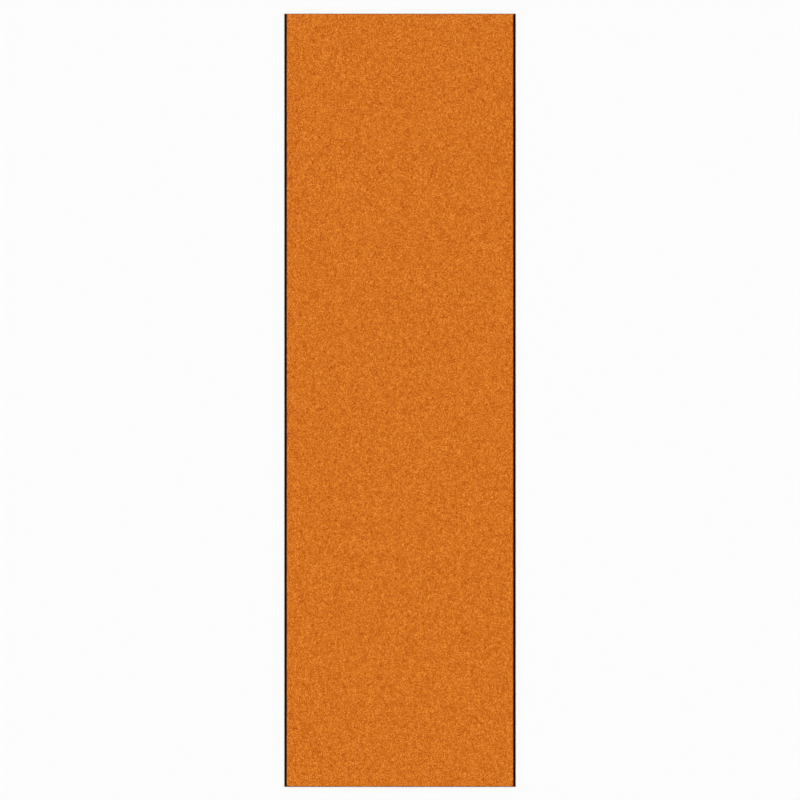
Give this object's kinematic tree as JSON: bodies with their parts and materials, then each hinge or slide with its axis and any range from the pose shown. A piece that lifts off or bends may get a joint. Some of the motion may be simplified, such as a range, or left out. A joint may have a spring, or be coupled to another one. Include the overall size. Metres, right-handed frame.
{
  "type": "grip tape sheet",
  "caption": "Flat rectangular sheet of orange grit-coated adhesive grip tape with bare black long edges, on a paper release liner; one end peels up and curls back.",
  "frame": {"origin": "middle of the underside of the release liner, at the surface the sheet lies on", "axes": "+X across the web, +Y along the web from the end that peels to the end that stays down, +Z out of the grit face"},
  "size_m": [0.2286, 0.764, 0.0009],
  "materials": {
    "release_liner": "silicone-faced kraft paper, satin",
    "adhesive": "clear, glossy and tacky over black film",
    "backing_film": "black film, satin",
    "make_coat": "dark cured resin, semi-gloss",
    "grain_bed": "sharp dark mineral grain",
    "size_coat": "orange resin over coarse grit, matte and sparkling"
  },
  "bodies": {
    "liner": {"release_liner": "release_liner"},
    "tape": {"adhesive_flat": "adhesive", "backing_film_flat": "backing_film", "make_coat_flat": "make_coat", "grain_bed_flat": "grain_bed", "size_coat_flat": "size_coat"},
    "curl_1": {"adhesive_peel_1": "adhesive", "backing_film_peel_1": "backing_film", "make_coat_peel_1": "make_coat", "grain_bed_peel_1": "grain_bed", "size_coat_peel_1": "size_coat"},
    "curl_2": {"adhesive_peel_2": "adhesive", "backing_film_peel_2": "backing_film", "make_coat_peel_2": "make_coat", "grain_bed_peel_2": "grain_bed", "size_coat_peel_2": "size_coat"},
    "curl_3": {"adhesive_peel_3": "adhesive", "backing_film_peel_3": "backing_film", "make_coat_peel_3": "make_coat", "grain_bed_peel_3": "grain_bed", "size_coat_peel_3": "size_coat"},
    "curl_4": {"adhesive_peel_4": "adhesive", "backing_film_peel_4": "backing_film", "make_coat_peel_4": "make_coat", "grain_bed_peel_4": "grain_bed", "size_coat_peel_4": "size_coat"},
    "curl_5": {"adhesive_peel_5": "adhesive", "backing_film_peel_5": "backing_film", "make_coat_peel_5": "make_coat", "grain_bed_peel_5": "grain_bed", "size_coat_peel_5": "size_coat"},
    "curl_6": {"adhesive_peel_6": "adhesive", "backing_film_peel_6": "backing_film", "make_coat_peel_6": "make_coat", "grain_bed_peel_6": "grain_bed", "size_coat_peel_6": "size_coat"},
    "curl_7": {"adhesive_peel_7": "adhesive", "backing_film_peel_7": "backing_film", "make_coat_peel_7": "make_coat", "grain_bed_peel_7": "grain_bed", "size_coat_peel_7": "size_coat"}
  },
  "joints": [
    {"name": "lift_off", "type": "slide", "parent": "liner", "child": "tape", "axis": [0, 0, 1], "range_m": [0, 0.04]},
    {"name": "bend_1", "type": "hinge", "parent": "tape", "child": "curl_1", "pos_m": [0, -0.176, 0.0009], "axis": [-1, 0, 0], "range_deg": [0, 10.01]},
    {"name": "bend_2", "type": "hinge", "parent": "curl_1", "child": "curl_2", "pos_m": [0, -0.202, 0.0009], "axis": [-1, 0, 0], "range_deg": [0, 26]},
    {"name": "bend_3", "type": "hinge", "parent": "curl_2", "child": "curl_3", "pos_m": [0, -0.228, 0.0009], "axis": [-1, 0, 0], "range_deg": [0, 26]},
    {"name": "bend_4", "type": "hinge", "parent": "curl_3", "child": "curl_4", "pos_m": [0, -0.254, 0.0009], "axis": [-1, 0, 0], "range_deg": [0, 26]},
    {"name": "bend_5", "type": "hinge", "parent": "curl_4", "child": "curl_5", "pos_m": [0, -0.28, 0.0009], "axis": [-1, 0, 0], "range_deg": [0, 26]},
    {"name": "bend_6", "type": "hinge", "parent": "curl_5", "child": "curl_6", "pos_m": [0, -0.306, 0.0009], "axis": [-1, 0, 0], "range_deg": [0, 26]},
    {"name": "bend_7", "type": "hinge", "parent": "curl_6", "child": "curl_7", "pos_m": [0, -0.332, 0.0009], "axis": [-1, 0, 0], "range_deg": [0, 10.01]}
  ],
  "couplings": [
    {"joint": "bend_1", "follows": "bend_2", "ratio": 0.385},
    {"joint": "bend_3", "follows": "bend_2", "ratio": 1},
    {"joint": "bend_4", "follows": "bend_2", "ratio": 1},
    {"joint": "bend_5", "follows": "bend_2", "ratio": 1},
    {"joint": "bend_6", "follows": "bend_2", "ratio": 1},
    {"joint": "bend_7", "follows": "bend_2", "ratio": 0.385}
  ]
}
